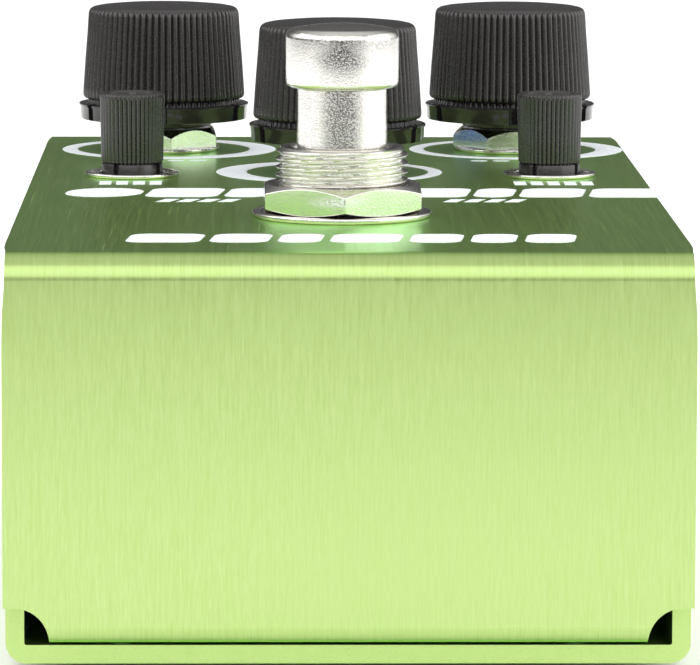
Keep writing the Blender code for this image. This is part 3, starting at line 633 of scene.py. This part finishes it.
def make_base():
    top = BASE_HIGH.z
    half, run = BASE_HIGH.x, BASE_HIGH.y
    corners = [(-half, top), (-half, BASE_LOW.z), (half, BASE_LOW.z), (half, top)]
    outline = folded_outline(corners, [BASE_BEND, BASE_BEND])
    base = prism("case_base", outline, -run, run, "Y")
    for end in (-1, 1):
        corner = arc((0, 0), 1.35 * MM, 0, 90, 8)
        wedge = [(end * (run - 1.35 * MM + y), top - 1.35 * MM + z) for y, z in corner]
        wedge += [(end * (run - 1.35 * MM), top + MM), (end * (run + MM), top + MM),
                  (end * (run + MM), top - 1.35 * MM)]
        cut_with(base, prism("corner", wedge, -half - MM, half + MM, "X"))
    for index in range(1, 5):
        at = axis_of(f"base_screw_{index}")
        sink = revolve("sink", [(0, BASE_LOW.z + 3 * MM), (1.75 * MM, BASE_LOW.z + 3 * MM),
                                (1.75 * MM, BASE_LOW.z + 1.05 * MM), (2.75 * MM, BASE_LOW.z),
                                (2.75 * MM, BASE_LOW.z - MM), (0, BASE_LOW.z - MM)], None, at, 48)
        cut_with(base, sink)
    for role, side in (("input", 1), ("output", -1)):
        low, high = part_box(f"{role}_jack_washer")
        at = ((low.y + high.y) / 2, (low.z + high.z) / 2)
        circle = [(at[0] + y, at[1] + z) for y, z in arc((0, 0), 4.95 * MM, 0, 360, 64)[:-1]]
        near, far = sorted((side * (half - 3 * MM), side * (half + MM)))
        cut_with(base, prism("hole", circle, near, far, "X"))
    base.data.materials.clear()
    base.data.materials.append(LOOKS["base"])
    soften_edges(base, 0.13 * MM)
    on_case(base, "base_chassis")


# ---------------------------------------------------------------- printing on the panel
PRINT_LIFT = 0.02 * MM


def ink(name, outlines):
    """Flat ink shapes, each a closed outline on the panel."""
    shape = bmesh.new()
    for outline in outlines:
        face = shape.faces.new([shape.verts.new((x, y, PANEL + PRINT_LIFT)) for x, y in outline])
        swept = bmesh.ops.extrude_face_region(shape, geom=[face])
        moved = [v for v in swept["geom"] if isinstance(v, bmesh.types.BMVert)]
        bmesh.ops.translate(shape, verts=moved, vec=(0, 0, -1.5 * PRINT_LIFT))
    obj = finish_mesh(name, shape, LOOKS["print"])
    return on_case(obj)


def crescent(name, at, outer, inner, shift):
    """A dial ring whose inner circle is off centre, so the band swells to one side."""
    shape = bmesh.new()
    count = 128
    rims = []
    for level in (PANEL + PRINT_LIFT, PANEL - PRINT_LIFT / 2):
        for radius, move in ((outer, shift), (inner, 0.0)):
            rims.append([shape.verts.new((at[0] + move + x, at[1] + y, level))
                         for x, y in arc((0, 0), radius, 0, 360, count)[:-1]])
    top_outer, top_inner, low_outer, low_inner = rims
    for first, second in ((top_outer, top_inner), (low_outer, top_outer), (low_inner, low_outer),
                          (top_inner, low_inner)):
        for i in range(count):
            j = (i + 1) % count
            shape.faces.new((first[i], first[j], second[j], second[i]))
    obj = finish_mesh(name, shape, LOOKS["print"])
    return on_case(obj)


def capsule(x, y, width, height, lean=0.0, steps=10):
    """A bar with round ends, leaning to the right by lean."""
    radius = min(width, height) / 2
    flat = max(width / 2 - radius, 0.0)
    rise = max(height / 2 - radius, 0.0)
    points = []
    for cx, cy, start in ((flat, rise, 0), (-flat, rise, 90), (-flat, -rise, 180),
                          (flat, -rise, 270)):
        points += arc((cx, cy), radius, start, start + 90, steps)
    return [(x + px + lean * py, y + py) for px, py in points]


def tile(x, y, width, height, lean=0.0, radius=1.5 * MM, steps=6):
    """A leaning bar with rounded corners."""
    points = []
    for sx, sy, start in ((1, 1, 0), (-1, 1, 90), (-1, -1, 180), (1, -1, 270)):
        centre = (sx * (width / 2 - radius), sy * (height / 2 - radius))
        points += arc(centre, radius, start, start + 90, steps)
    return [(x + px + lean * py, y + py) for px, py in points]


def slab(x, y, width, height, lean=0.0):
    """A leaning parallelogram bar."""
    return [(x + sx * width / 2 + lean * sy * height / 2, y + sy * height / 2)
            for sx, sy in ((1, 1), (-1, 1), (-1, -1), (1, -1))]


def make_printing():
    crescent("dial_ring_left", (KNOBS["left"][0], KNOBS["left"][1]), 10.85 * MM, 8.75 * MM,
             0.55 * MM)
    crescent("dial_ring_right", (KNOBS["right"][0], KNOBS["right"][1]), 10.85 * MM, 8.75 * MM,
             0.65 * MM)
    crescent("dial_ring_middle", KNOBS["middle"], 11.0 * MM, 8.85 * MM, -0.8 * MM)

    title = []
    height, y = 8.2 * MM, -4.2 * MM
    x = -26.0 * MM
    for index, width in enumerate((9.0, 8.6, 5.2, 8.2, 5.6, 8.0, 5.0, 7.6, 9.4)):
        width *= 0.86 * MM
        bar = tile if index % 3 else capsule
        title.append(bar(x + width / 2, y, width - 0.6 * MM, height, 0.12))
        x += width
    ink("title_bars", title)

    ribbon = []
    for side in (-1, 1):
        for step in range(4):
            ribbon.append(slab(side * (10.4 + 1.9 * step) * MM, -11.4 * MM, 1.3 * MM,
                               2.6 * MM, 0.35))
    ink("subtitle_ticks", ribbon)

    lower = []
    x = -19.4 * MM
    for width in (7.4, 6.0, 4.6, 7.0, 5.4, 4.8, 5.2):
        width *= 0.98 * MM
        lower.append(tile(x + width / 2, -43.2 * MM, width - 0.8 * MM, 6.8 * MM, 0.1))
        x += width
    ink("lower_bars", lower)

    for side, count in (("left", 4), ("right", 5)):
        pitch = 1.6 * MM
        first = MINIS[side][0] - pitch * (count - 1) / 2
        marks = [slab(first + pitch * step, 4.9 * MM, 1.15 * MM, 3.4 * MM)
                 for step in range(count)]
        ink(f"mini_marks_{side}", marks)
    marks = [capsule(KNOBS["right"][0] + offset * MM, KNOBS["right"][1] - 12.4 * MM, 1.7 * MM,
                     0.9 * MM) for offset in (-3.6, -1.4)]
    marks += [capsule(KNOBS["left"][0] + offset * MM, KNOBS["left"][1] - 12.4 * MM, 1.7 * MM,
                      0.9 * MM) for offset in (1.4, 3.6)]
    ink("knob_marks", marks)


# ---------------------------------------------------------------- nuts, washers and threads
def hex_nut(name, at, flats, low, high, bore, chamfer, turn, look, both=True):
    """A hexagon nut: a prism trimmed by a chamfered disc, then bored."""
    corner = flats / math.sqrt(3)
    outline = [(corner * math.cos(math.radians(turn + 60 * k)),
                corner * math.sin(math.radians(turn + 60 * k))) for k in range(6)]
    nut = prism(name, outline, low, high)
    rim = flats / 2 * 0.985
    disc_low = [(corner + 0.2 * MM, low + chamfer * 0.8), (rim, low)] if both else \
        [(corner + 0.2 * MM, low)]
    disc = [(0, high), (rim, high), (corner + 0.2 * MM, high - chamfer)] + disc_low + [(0, low)]
    cut_with(nut, revolve("disc", disc, None, segments=120), "INTERSECT")
    hole = [(0, high + MM), (bore + 0.35 * MM, high + MM), (bore + 0.35 * MM, high),
            (bore, high - 0.35 * MM), (bore, low + 0.35 * MM), (bore + 0.35 * MM, low),
            (bore + 0.35 * MM, low - MM), (0, low - MM)]
    cut_with(nut, revolve("bore", hole, None, segments=96))
    nut.data.materials.clear()
    nut.data.materials.append(look)
    nut.data.shade_smooth()
    nut.data.set_sharp_from_angle(angle=math.radians(12))
    nut.data.transform(Matrix.Translation((at[0], at[1], 0)))
    soften_edges(nut, 0.05 * MM, 2, 14.0)
    return nut


THREAD_LEAD_IN = 0.45 * MM


def thread_reshape(major, minor, pitch, low, high):
    """Radius of a right-hand 60 degree thread at an angle and height."""
    def radius_at(angle, radius, z):
        if radius < major - 1e-6 or z < low or z > high:
            return radius
        phase = (z / pitch - angle / (2 * math.pi)) % 1.0
        ramp = min(max((abs(phase - 0.5) - 0.06) / 0.33, 0.0), 1.0)
        fade = min(1.0, (high - z) / THREAD_LEAD_IN)
        crest = major - (1.0 - fade) * 0.3 * MM
        return crest - (crest - minor) * ramp * ramp * (3 - 2 * ramp)
    return radius_at


def threaded_sleeve(name, at, major, bore, low, high, pitch, look, depth=0.46 * MM, steps=12):
    """A tube with an outside thread and a chamfered mouth."""
    rows = int((high - low) / pitch * steps)
    outside = [(major, high - 0.12 * MM - (high - 0.12 * MM - low) * i / rows)
               for i in range(rows + 1)]
    profile = [(bore + 0.25 * MM, high), (major - 0.42 * MM, high)] + outside
    profile += [(bore, low), (bore, high - 0.25 * MM)]
    reshape = thread_reshape(major, major - depth, pitch, low, high)
    return revolve(name, profile, look, at, 96, closed=True, reshape=reshape, sharp=50.0)


def make_footswitch():
    nickel = LOOKS["nickel"]
    washer = revolve("switch_washer_ring", ring_profile(8.1 * MM, 6.1 * MM, PANEL,
                                                        PANEL + 0.5 * MM, 0.16 * MM),
                     nickel, SWITCH, 128, closed=True)
    on_case(washer, "switch_washer")
    nut = hex_nut("switch_nut", SWITCH, 14.0 * MM, PANEL + 0.5 * MM, PANEL + 3.0 * MM, 5.7 * MM,
                  0.75 * MM, 31.0, nickel)
    on_case(nut, "switch_top_nut")
    sleeve = threaded_sleeve("switch_sleeve", SWITCH, 5.95 * MM, 4.5 * MM, UNDER - 3.5 * MM,
                             PANEL + 6.3 * MM, 0.75 * MM, nickel)
    on_case(sleeve)
    low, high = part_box("switch_bushing")
    flange = revolve("switch_flange", ring_profile(7.6 * MM, 4.5 * MM, low.z, low.z + MM),
                     nickel, SWITCH, 64, closed=True)
    on_case(flange, "switch_bushing")

    low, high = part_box("switch_plunger")
    head, stem, shoulder, foot = 5.1 * MM, 4.05 * MM, 0.9 * MM, 0.5 * MM
    under = PANEL + 11.65 * MM
    flat = head - shoulder
    crown = high.z - 0.4 * MM
    profile = [(flat * k / 8, high.z - 0.4 * MM * (k / 8) ** 2) for k in range(8)]
    profile += arc((flat, crown - shoulder), shoulder, 84, 0, 10)
    profile += arc((head - foot, under + foot), foot, 0, -90, 6)
    profile += [(stem + 0.15 * MM, under), (stem, under - 0.15 * MM), (stem, low.z + 1.8 * MM)]
    profile += [(4.9 * MM, low.z + 1.8 * MM), (4.9 * MM, low.z), (0, low.z)]
    plunger = revolve("footswitch_plunger", profile, nickel, SWITCH, 128)
    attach(plunger, "plunger")
    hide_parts("switch_plunger")


def make_spring():
    """The return spring: a helix of round wire in the spring node's box."""
    low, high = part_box("switch_spring")
    coil, wire, turns, steps, sides = 3.2 * MM, 0.2 * MM, 3.5, 168, 10
    rise = high.z - low.z - 2 * wire
    shape = bmesh.new()
    rings = []
    for i in range(steps + 1):
        angle = 2 * math.pi * turns * i / steps
        ring = []
        for k in range(sides):
            around = 2 * math.pi * k / sides
            out = coil + wire * math.cos(around)
            ring.append(shape.verts.new((SWITCH[0] + out * math.cos(angle),
                                         SWITCH[1] + out * math.sin(angle),
                                         low.z + wire * (1 + math.sin(around)) + rise * i / steps)))
        rings.append(ring)
    for first, second in zip(rings, rings[1:]):
        for k in range(sides):
            j = (k + 1) % sides
            shape.faces.new((first[k], first[j], second[j], second[k]))
    shape.faces.new(rings[0])
    shape.faces.new(rings[-1])
    spring = finish_mesh("return_spring", shape, LOOKS["steel"], 60)
    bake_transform(spring)
    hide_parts("switch_spring")


# ---------------------------------------------------------------- knobs
FLUTES = 72
FLUTE_DEPTH = 0.30 * MM
GRIP_FOOT, GRIP_RIM = 5.25, 14.35      # millimetres above the panel
SLOT_PITCH, SLOT_HALF = 60.0, 0.4 * MM
SLOT_FLOOR = 7.75 * MM


def knob_reshape(angle, radius, z):
    """Fluted grip above the neck; six slots through the skirt ring below it."""
    height = (z - PANEL) / MM
    if height > GRIP_FOOT:
        fade = min(1.0, max(0.0, (GRIP_RIM - height) / 0.35))
        ridge = abs(math.cos(FLUTES * angle / 2))
        depth = FLUTE_DEPTH * fade if radius > 7.2 * MM else 0.0
        return radius - depth * (1.0 - ridge)
    if radius > 8.2 * MM:
        offset = math.degrees(angle) % SLOT_PITCH - SLOT_PITCH / 2
        if abs(offset) * math.pi / 180 * radius < SLOT_HALF:
            return SLOT_FLOOR
    return radius


def make_knob(side):
    at = KNOBS[side]
    low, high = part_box(f"knob_{side}")
    crown = [(0, 14.9), (3.0, 14.87), (5.2, 14.76), (6.6, 14.62), (7.15, 14.5), (7.42, 14.34)]
    grip = [(7.56, 14.1), (7.62, 13.8), (7.74, 12.0), (7.98, 9.0), (8.15, 6.5), (8.2, 5.8),
            (8.17, 5.55), (8.05, 5.38), (7.85, 5.3)]
    skirt = [(7.7, 5.28), (7.7, 4.86), (8.5, 4.82), (8.6, 4.76), (8.6, 4.62), (8.48, 4.5),
             (8.42, 3.4), (8.36, 3.24), (8.2, 3.2)]
    under = [(7.5, 3.2), (7.1, 3.25), (6.95, 3.5), (6.85, 8.5), (4.95, 8.5), (4.9, 4.0),
             (4.85, 2.62), (4.75, 2.5), (3.3, 2.5), (3.25, 2.7), (3.25, 12.0), (0, 12.0)]
    profile = [(r * MM, PANEL + z * MM) for r, z in crown + grip + skirt + under]
    knob = revolve(f"fluted_knob_{side}", profile, LOOKS["knob"], at, FLUTES * 8,
                   reshape=knob_reshape, sharp=48.0)
    knob.data.materials.append(LOOKS["gloss"])
    for face in knob.data.polygons:
        if PANEL + 2.4 * MM < face.center.z < PANEL + 5.85 * MM:
            face.material_index = 1
    body = f"{side}_control"
    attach(knob, body)
    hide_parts(f"knob_{side}")

    shape = bmesh.new()
    ends = []
    for z, outer in ((5.7, 8.28), (14.0, 7.66)):
        ends.append([shape.verts.new((at[0] + x * MM, at[1] + y * MM, PANEL + z * MM))
                     for x, y in ((-0.5, outer - 0.7), (0.5, outer - 0.7), (0.5, outer - 0.06),
                                  (0.0, outer), (-0.5, outer - 0.06))])
    shape.faces.new(ends[0])
    shape.faces.new(ends[1])
    for i in range(5):
        j = (i + 1) % 5
        shape.faces.new((ends[0][i], ends[0][j], ends[1][j], ends[1][i]))
    pointer = finish_mesh(f"knob_pointer_{side}", shape, LOOKS["print"])
    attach(pointer, body)

    nut_turn = {"left": 8.0, "middle": 17.0, "right": -25.0}[side]
    nut = hex_nut(f"knob_nut_{side}", at, 10.0 * MM, PANEL + 0.4 * MM, PANEL + 2.35 * MM,
                  3.55 * MM, 1.0 * MM, nut_turn - 90, LOOKS["nickel"], both=False)
    on_case(nut, f"pot_nut_{side}")
    washer = revolve(f"knob_washer_{side}", ring_profile(5.6 * MM, 3.7 * MM, PANEL,
                                                         PANEL + 0.4 * MM, 0.12 * MM),
                     LOOKS["nickel"], at, 96, closed=True)
    on_case(washer, f"pot_washer_{side}")


MINI_FLUTES = 42
MINI_FLUTE_DEPTH = 0.17 * MM
NOTCH_PITCH, NOTCH_HALF, NOTCH_DEPTH = 90.0, 0.32 * MM, 0.5 * MM


def mini_reshape(angle, radius, z):
    """Fine flutes above the collar, four shallow notches in the collar."""
    height = (z - PANEL) / MM
    if radius < 2.6 * MM:
        return radius
    if height > 1.25:
        fade = min(1.0, max(0.0, (7.85 - height) / 0.2))
        return radius - MINI_FLUTE_DEPTH * fade * (1.0 - abs(math.cos(MINI_FLUTES * angle / 2)))
    offset = (math.degrees(angle) + 75.0) % NOTCH_PITCH - NOTCH_PITCH / 2
    if height > -1.0 and abs(offset) * math.pi / 180 * radius < NOTCH_HALF:
        return radius - NOTCH_DEPTH
    return radius


def make_mini(side):
    at = MINIS[side]
    low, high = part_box(f"mini_knob_{side}")
    top = (high.z - PANEL) / MM
    heights = [(0, top - 0.25), (2.3, top - 0.25), (2.45, top - 0.05), (2.6, top),
               (2.95, top - 0.02), (3.08, top - 0.12), (3.13, top - 0.3), (3.12, top - 0.6),
               (3.0, 1.55), (2.97, 1.42), (2.88, 1.32), (2.8, 1.28), (2.8, 1.22), (2.92, 1.2),
               (2.95, 1.12), (2.95, 0.1), (2.95, -1.1), (2.0, -1.1),
               (2.0, (low.z - PANEL) / MM), (0, (low.z - PANEL) / MM)]
    profile = [(r * MM, PANEL + z * MM) for r, z in heights]
    knob = revolve(f"fluted_mini_{side}", profile, LOOKS["knob"], at, MINI_FLUTES * 8,
                   reshape=mini_reshape, sharp=48.0)
    groove = prism("groove", [(at[0] + x * MM, at[1] + y * MM)
                              for x, y in ((-0.35, 0.2), (0.35, 0.2), (0.35, 2.3), (-0.35, 2.3))],
                   PANEL + (top - 0.7) * MM, PANEL + (top + 1) * MM)
    cut_with(knob, groove)
    knob.data.materials.clear()
    knob.data.materials.append(LOOKS["knob"])
    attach(knob, f"{side}_mini_control")
    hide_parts(f"mini_knob_{side}")
    washer = revolve(f"mini_ring_{side}", ring_profile(4.5 * MM, 3.3 * MM, PANEL,
                                                       PANEL + 0.4 * MM, 0.15 * MM),
                     LOOKS["nickel"], at, 96, closed=True)
    on_case(washer, f"mini_washer_{side}")


# ---------------------------------------------------------------- jacks, lamp, feet, screws
def make_jack(role, side):
    """Nut, washer and threaded sleeve built about +Z, then laid along the wall's normal."""
    low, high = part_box(f"{role}_jack_washer")
    body_low, body_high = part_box(f"{role}_jack_body")
    reach = max(abs(body_low.x), abs(body_high.x)) - BASE_HIGH.x
    lay = (Matrix.Translation((side * BASE_HIGH.x, (low.y + high.y) / 2, (low.z + high.z) / 2))
           @ Matrix.Rotation(side * math.pi / 2, 4, "Y"))
    washer = revolve(f"{role}_washer", ring_profile(7.4 * MM, 4.85 * MM, 0, 0.6 * MM, 0.15 * MM),
                     LOOKS["nickel"], segments=96, closed=True)
    nut = hex_nut(f"{role}_nut", (0, 0), 12.7 * MM, 0.6 * MM, 2.9 * MM, 4.6 * MM, 0.7 * MM, 12.0,
                  LOOKS["nickel"])
    sleeve = threaded_sleeve(f"{role}_sleeve", (0, 0), 4.75 * MM, 3.3 * MM, -1.9 * MM,
                             reach - 0.3 * MM, 0.8 * MM, LOOKS["nickel"], 0.42 * MM)
    depth = abs(body_high.x - body_low.x) - reach
    box = [(sx * 7.5 * MM, sy * 7.5 * MM) for sx, sy in ((1, 1), (-1, 1), (-1, -1), (1, -1))]
    body = prism(f"{role}_housing", box, -depth, -1.9 * MM)
    cut_with(body, drum("bore", (0, 0), 3.3 * MM, -24 * MM, MM, 64))
    body.data.materials.clear()
    body.data.materials.append(LOOKS["plastic"])
    soften_edges(body, 0.5 * MM, 3)
    for piece, node in ((washer, "washer"), (nut, "nut"), (body, "body"), (sleeve, None)):
        turn_about(piece, lay)
        on_case(piece, *([f"{role}_jack_{node}"] if node else []))


def make_lamp():
    low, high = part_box("led_lens")
    radius = 2.5 * MM
    dome = [(r, z) for r, z in arc((0, high.z - radius), radius, 90, 0, 16)]
    profile = [(abs(r) if abs(r) > 1e-9 else 0.0, z) for r, z in dome]
    profile += [(radius, UNDER - 0.3 * MM), (3.0 * MM, UNDER - 0.3 * MM),
                (3.0 * MM, low.z), (0, low.z)]
    lamp = revolve("lamp_dome", profile, LOOKS["lens"], LED, 64)
    on_case(lamp, "led_lens")


def make_feet():
    for index in range(1, 5):
        node = f"rubber_foot_{index}"
        at = axis_of(node)
        top = BASE_LOW.z - 0.02 * MM
        profile = softened([(0, top), (5.5 * MM, top), (5.35 * MM, 0.35 * MM), (5.0 * MM, 0),
                            (3.4 * MM, 0), (3.1 * MM, 0.25 * MM), (0, 0.25 * MM)], 0.12 * MM)
        foot = revolve(f"foot_{index}", profile, LOOKS["rubber"], at, 64)
        on_case(foot, node)


def make_screws():
    for index in range(1, 5):
        node = f"base_screw_{index}"
        at = axis_of(node)
        low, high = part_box(node)
        profile = softened([(0, high.z), (1.45 * MM, high.z), (1.45 * MM, low.z + 1.05 * MM),
                            (2.5 * MM, low.z + 0.12 * MM), (2.4 * MM, low.z), (0, low.z)],
                           0.05 * MM)
        screw = revolve(f"screw_{index}", profile, LOOKS["steel"], at, 48)
        for turn in (20, 110):
            step = Matrix.Rotation(math.radians(turn + 13 * index), 2)
            bar = [tuple(step @ Vector((x * MM, y * MM)) + Vector(at))
                   for x, y in ((1.45, 0.28), (-1.45, 0.28), (-1.45, -0.28), (1.45, -0.28))]
            cut_with(screw, prism("slot", bar, low.z - MM, low.z + 0.75 * MM))
        screw.data.materials.clear()
        screw.data.materials.append(LOOKS["steel"])
        on_case(screw, node)


# ---------------------------------------------------------------- CAD nodes that stay
STAYS = {
    "steel": ["clinch_nut_1", "clinch_nut_2", "clinch_nut_3", "clinch_nut_4", "switch_under_nut",
              "pot_shaft_left", "pot_shaft_middle", "pot_shaft_right",
              "pot_body_left", "pot_body_middle", "pot_body_right"],
    "phenolic": ["switch_housing"],
    "board": ["switch_terminal_board", "main_board"],
    "plastic": ["mini_pot_left", "mini_pot_right", "dc_jack_body", "battery_snap"],
    "nickel": ["dc_jack_pin"],
    "battery": ["battery"],
    "foam": ["battery_foam"],
    "lead": ["battery_lead", "input_lead", "output_lead"],
    "ribbon": ["switch_ribbon"],
}


def dress_cad_nodes():
    for look, names in STAYS.items():
        for name in names:
            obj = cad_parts[name]
            if not obj.data.materials:
                obj.data.materials.append(LOOKS[look])
            for slot in obj.material_slots:
                slot.material = LOOKS[look]
    soften_edges(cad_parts["dc_jack_body"], 0.25 * MM, 3)


place_camera()
build_world()
build_stage()
make_shell()
make_base()
make_printing()
make_footswitch()
make_spring()
for place in KNOBS:
    make_knob(place)
for place in MINIS:
    make_mini(place)
make_jack("input", 1)
make_jack("output", -1)
make_lamp()
make_feet()
make_screws()
dress_cad_nodes()

bpy.context.scene.view_settings.view_transform = "Standard"
